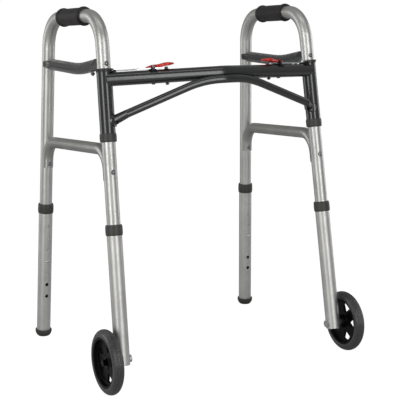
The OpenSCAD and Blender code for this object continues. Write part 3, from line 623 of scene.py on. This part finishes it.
for side in SIDES:
    front, rear = front_leg(side), rear_leg(side)
    turned_pieces = (
        ("moulded_grip", GRIP_SECTION, grip(side), f"{side}_side",
         grip_vinyl, "grip_vinyl", "hand_grip"),
        ("front_leg_collar", collar_section(FRONT_TOP), front, f"{side}_front_leg",
         collar_plastic, "grey_plastic", "front_collar"),
        ("rear_leg_collar", collar_section(REAR_TOP), rear, f"{side}_rear_leg",
         collar_plastic, "grey_plastic", "rear_collar"),
        ("rubber_tip", TIP_SECTION, rear, f"{side}_rear_leg",
         tip_rubber, "tip_rubber", "rear_tip"),
        ("sleeve_collar", SLEEVE_BOTTOM_SECTION, front, "front_frame",
         collar_plastic, "grey_plastic", "sleeve_bottom_collar"),
    )
    for name, section, place, body, material, slot, node in turned_pieces:
        verts, faces = turned(rounded(in_metres(section)), TURNED_STEPS)
        made = piece(f"{side}_{name}", verts, faces, place, body, material,
                     f"{side}_{node}")
        if node == "rear_tip":
            cut_at_floor(made)


# ---- release levers ----

# Across the walker and up, in millimetres from the crossbar's middle and the floor
PIN_X, PIN_H = 139.0, 595.2
LEVER_TOP = 593.45
# Powers under 1 square off the leaf's round section: least on top, most underneath
ROUND_POWER, FLAT_POWER = 0.62, 0.3
# Stations along the paddle: distance from the crossbar's middle, half width, underside, top
PADDLE = [
    (97.2, 2.4, 599.0, 600.4), (98.8, 4.6, 598.1, 601.2), (101.5, 7.2, 597.4, 601.8),
    (105, 9.6, 596.9, 602.1), (109, 11.3, 596.5, 602.3), (113, 11.9, 596.2, 602.4),
    (117, 11.5, 595.5, 602.0), (120.5, 10.0, 594.2, 601.4), (123.5, 8.0, LEVER_TOP, 600.7),
    (127, 6.4, LEVER_TOP, 600.1), (131, 5.5, LEVER_TOP, 599.7), (135.6, 5.4, LEVER_TOP, 599.5),
    (136.5, 5.4, 597.0, 599.45), (139, 5.4, 598.15, 599.35), (141.5, 5.4, 597.0, 599.0),
    (142.4, 5.4, LEVER_TOP, 598.8), (146, 5.3, LEVER_TOP, 597.7), (150, 4.9, LEVER_TOP, 596.1),
    (152.2, 3.9, LEVER_TOP, 595.0), (152.9, 2.8, LEVER_TOP, 594.4),
]
SPRING_X, SPRING_LOW, SPRING_HIGH = 112.5, 590.85, 594.6
SPRING_R, WIRE_R, COILS = 2.8, 0.45, 4
# Turns that lie flat at each end of a spring
END_TURNS = 0.5


def paddle_mesh():
    """Vertices and faces of a leaf with a rounded top, swept through its stations."""
    around = 16
    verts = []
    for x, half, low, high in PADDLE:
        centre, rise = (low + high) / 2, (high - low) / 2
        for k in range(around):
            angle = 2 * math.pi * k / around
            c, s = math.cos(angle), math.sin(angle)
            power = ROUND_POWER if s > 0 else FLAT_POWER
            verts.append(((x - PIN_X) * MM,
                          half * math.copysign(abs(c) ** ROUND_POWER, c) * MM,
                          (centre - PIN_H + rise * math.copysign(abs(s) ** power, s)) * MM))
    return verts, skinned(len(PADDLE), around)


def coil_mesh():
    """Vertices and faces of a helical spring of round wire with flat ends."""
    around, steps = 8, 24 * COILS
    rise = (SPRING_HIGH - SPRING_LOW - 2 * WIRE_R) * MM
    foot = (SPRING_LOW + WIRE_R - PIN_H) * MM
    flat = END_TURNS / COILS
    verts = []
    for i in range(steps + 1):
        share = i / steps
        climb = min(1.0, max(0.0, (share - flat) / (1 - 2 * flat)))
        angle = 2 * math.pi * COILS * share
        centre = Vector(((SPRING_X - PIN_X) * MM, 0, foot + rise * climb))
        outward = Vector((math.cos(angle), math.sin(angle), 0))
        for k in range(around):
            turn = 2 * math.pi * k / around
            verts.append(centre + outward * (SPRING_R + WIRE_R * math.cos(turn)) * MM
                         + Vector((0, 0, WIRE_R * math.sin(turn) * MM)))
    return verts, skinned(steps + 1, around)


for side in SIDES:
    place = bar(side)
    verts, faces = paddle_mesh()
    piece(f"{side}_leaf_paddle", verts, faces, place, f"{side}_release", paddle_red,
          f"{side}_release_paddle", sharp=60)
    verts, faces = coil_mesh()
    piece(f"{side}_coil_spring", verts, faces, place, "front_frame", spring_steel,
          f"{side}_release_spring", sharp=60)


# ---- floor, light and camera ----

def camera_only(tree, seen, otherwise):
    """Shader that is `seen` by the camera and `otherwise` by the light that bounces round."""
    path = tree.nodes.new("ShaderNodeLightPath")
    mix = tree.nodes.new("ShaderNodeMixShader")
    tree.links.new(path.outputs["Is Camera Ray"], mix.inputs[0])
    tree.links.new(otherwise, mix.inputs[1])
    tree.links.new(seen, mix.inputs[2])
    return mix.outputs[0]


def grey(value):
    """Colour with the same linear value in each channel."""
    return (value, value, value, 1)


def way(azimuth, elevation):
    """Unit vector from the object, with azimuth 0 straight in front, both in degrees."""
    a, e = math.radians(azimuth), math.radians(elevation)
    return Vector((math.sin(a) * math.cos(e), -math.cos(a) * math.cos(e), math.sin(e)))


def aimed(name, data, target, direction, distance):
    """A lamp or camera that looks back at target from the given direction and distance."""
    obj = linked(name, data)
    obj.location = target + direction * distance
    obj.rotation_mode = "QUATERNION"
    obj.rotation_quaternion = (-direction).to_track_quat("-Z", "Y")
    return obj


# The floor is so wide that its edge is never seen, and just under the object's feet
FLOOR_HALF, FLOOR_DROP = 60, 0.0005
# What the camera sees is nearly white and takes faint shadows; what lights the object is grey
FLOOR_GLOW, FLOOR_SHADE, FLOOR_ALBEDO = 0.96, 0.16, 0.6
ROOM_SEEN, ROOM_LIGHT = 1.0, 0.28

floor_mesh = bpy.data.meshes.new("floor")
floor_mesh.from_pydata([(-FLOOR_HALF, -FLOOR_HALF, 0), (FLOOR_HALF, -FLOOR_HALF, 0),
                        (FLOOR_HALF, FLOOR_HALF, 0), (-FLOOR_HALF, FLOOR_HALF, 0)],
                       [], [(0, 1, 2, 3)])
floor = linked("floor", floor_mesh)
floor.location.z = -FLOOR_DROP
floor_material = bpy.data.materials.new("pale_floor")
floor_material.use_nodes = True
floor_tree = floor_material.node_tree
matt = floor_tree.nodes["Principled BSDF"]
matt.inputs["Base Color"].default_value = grey(FLOOR_ALBEDO)
matt.inputs["Roughness"].default_value = 0.9
glow = floor_tree.nodes.new("ShaderNodeEmission")
glow.inputs["Color"].default_value = grey(1)
glow.inputs["Strength"].default_value = FLOOR_GLOW
shade = floor_tree.nodes.new("ShaderNodeBsdfDiffuse")
shade.inputs["Color"].default_value = grey(FLOOR_SHADE)
pale = floor_tree.nodes.new("ShaderNodeAddShader")
floor_tree.links.new(glow.outputs[0], pale.inputs[0])
floor_tree.links.new(shade.outputs[0], pale.inputs[1])
floor_tree.links.new(camera_only(floor_tree, pale.outputs[0], matt.outputs[0]),
                     floor_tree.nodes["Material Output"].inputs["Surface"])
floor_mesh.materials.append(floor_material)

world = bpy.data.worlds.new("studio")
bpy.context.scene.world = world
world.use_nodes = True
room = world.node_tree
white, dim = room.nodes.new("ShaderNodeBackground"), room.nodes["Background"]
for background, strength in ((white, ROOM_SEEN), (dim, ROOM_LIGHT)):
    background.inputs["Color"].default_value = grey(1)
    background.inputs["Strength"].default_value = strength
room.links.new(camera_only(room, white.outputs[0], dim.outputs[0]),
               room.nodes["World Output"].inputs["Surface"])

centre = (Vector(cad_box[0]) + Vector(cad_box[1])) / 2
CAMERA_AZIMUTH, CAMERA_ELEVATION, CAMERA_DISTANCE = -28.09, 11.5, 2.281
# The point that the camera looks at, from the middle of the object's box
CAMERA_AIM = (0.0333, 0.0297, -0.0492)
# Name, azimuth from the camera's, elevation, distance, width, height and watts
SOFTBOXES = (
    ("key_left", -33, 12, 2.4, 0.8, 2.4, 19),
    ("key_right", 31, 12, 2.4, 0.8, 2.4, 19),
    ("top", 0, 78, 2.4, 2.2, 0.4, 5),
    ("back_left", 258, 6, 2.6, 1.2, 2.0, 11),
    ("back_right", 120, 6, 2.6, 1.2, 2.0, 12),
)
for name, azimuth, elevation, distance, width, height, power in SOFTBOXES:
    lamp = bpy.data.lights.new(name, "AREA")
    lamp.shape = "RECTANGLE"
    lamp.size, lamp.size_y = width, height
    lamp.energy = power
    box = aimed(name, lamp, centre, way(CAMERA_AZIMUTH + azimuth, elevation), distance)
    box.visible_camera = False

bpy.context.scene.view_settings.view_transform = "Standard"

lens = bpy.data.cameras.new("camera")
lens.sensor_width = 36
lens.lens = 99.15
bpy.context.scene.camera = aimed("camera", lens, centre + Vector(CAMERA_AIM),
                                 way(CAMERA_AZIMUTH, CAMERA_ELEVATION), CAMERA_DISTANCE)
